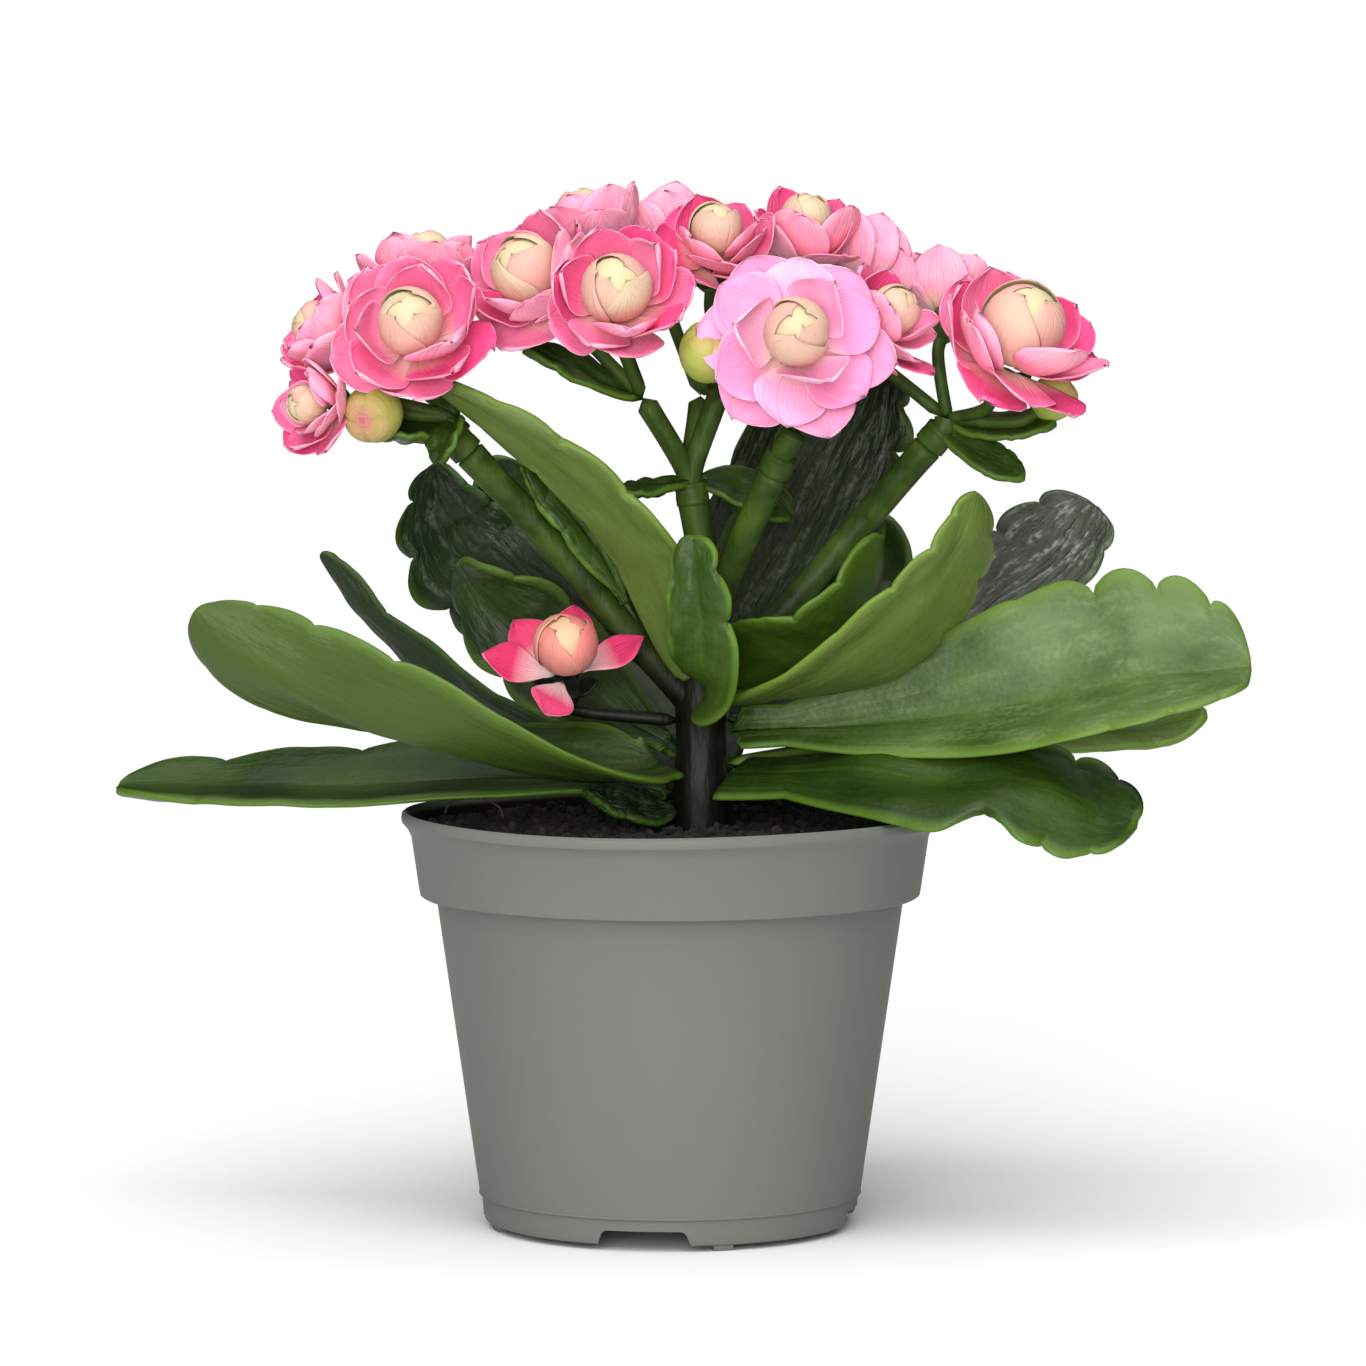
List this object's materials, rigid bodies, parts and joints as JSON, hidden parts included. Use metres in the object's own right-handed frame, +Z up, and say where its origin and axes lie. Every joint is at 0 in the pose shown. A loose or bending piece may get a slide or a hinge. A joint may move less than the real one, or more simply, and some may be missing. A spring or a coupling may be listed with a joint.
{
  "type": "potted kalanchoe",
  "caption": "Small double-flowered kalanchoe with broad lobed leaves and a domed head of pink blooms, in a round tapered nursery pot.",
  "frame": {"origin": "on the surface that it stands on, under the middle of its bounding box, which is within 1 mm of the pot's axis", "axes": "+Z up, -Y towards the front of the plant, +X towards the plant's right as seen from the front"},
  "size_m": [0.1484, 0.0707, 0.1361],
  "materials": {
    "pot_plastic": "satin grey-green moulded plastic",
    "peat": "damp dark peat crumbs",
    "stem": "smooth fleshy green stem",
    "leaf": "waxy thick leaf, satin",
    "petal": "soft satin petal",
    "heart": "soft satin petals, still wrapped"
  },
  "bodies": {
    "root": {"pot": "pot_plastic", "soil": "peat", "bloom_left_front": "petal", "heart_left_front": "heart", "bloom_left_top": "petal", "heart_left_top": "heart", "bloom_left_back": "petal", "heart_left_back": "heart", "bloom_left_low": "petal", "heart_left_low": "heart", "bloom_centre_left": "petal", "heart_centre_left": "heart", "bloom_centre_top_left": "petal", "heart_centre_top_left": "heart", "bloom_centre_front": "petal", "heart_centre_front": "heart", "bloom_centre_back": "petal", "heart_centre_back": "heart", "bloom_centre_right": "petal", "heart_centre_right": "heart", "bloom_top_right": "petal", "heart_top_right": "heart", "bloom_front_open": "petal", "heart_front_open": "heart", "bloom_front_side": "petal", "heart_front_side": "heart", "bloom_right_top": "petal", "heart_right_top": "heart", "bloom_right_main": "petal", "heart_right_main": "heart", "bloom_right_back": "petal", "heart_right_back": "heart", "bloom_low": "petal", "heart_low": "heart", "leaf_left_arm": "leaf", "leaf_left_low": "leaf", "leaf_left_back": "leaf", "leaf_left_mid": "leaf", "leaf_arch_left": "leaf", "leaf_front_mid": "leaf", "leaf_slender": "leaf", "leaf_tall_right": "leaf", "leaf_tall_back": "leaf", "leaf_right_small": "leaf", "leaf_pale_right": "leaf", "leaf_dark_right": "leaf", "leaf_big_right": "leaf", "leaf_right_back_under": "leaf", "leaf_low_right": "leaf", "leaf_left_tip_back": "leaf", "leaf_rim_left": "leaf", "leaf_back_left": "leaf", "leaf_back_mid": "leaf", "leaf_back_right": "leaf", "truss_left": "stem", "truss_centre": "stem", "truss_front": "stem", "truss_far": "stem", "stem": "stem"}
  },
  "joints": []
}
